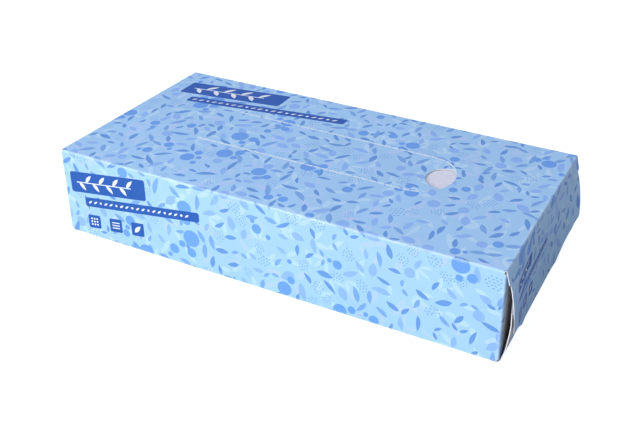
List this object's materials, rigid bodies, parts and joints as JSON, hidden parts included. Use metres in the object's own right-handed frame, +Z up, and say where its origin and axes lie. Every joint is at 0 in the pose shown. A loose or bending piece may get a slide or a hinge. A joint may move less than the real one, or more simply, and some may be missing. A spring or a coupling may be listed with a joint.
{
  "type": "tissue box",
  "caption": "Flat sealed carton of interfolded tissues with a perforated tear-out panel in its top, a finger hole and end flaps that bow out at one corner",
  "frame": {"origin": "middle of the carton's base, ignoring how far the right end's flaps bow out", "axes": "+X along the carton to the end with the finger hole and the bowed flaps, +Y to the back wall with the glued lap inside it, +Z up through the tear-out panel"},
  "size_m": [0.2299, 0.11, 0.045],
  "materials": {
    "carton_board": "smooth board printed outside, plain grey-white inside",
    "clear_film": "thin clear film",
    "tissue": "soft unprinted tissue"
  },
  "bodies": {
    "root": {"carton": "carton_board", "slit_film": "clear_film", "tissue_stack": "tissue"}
  },
  "joints": []
}
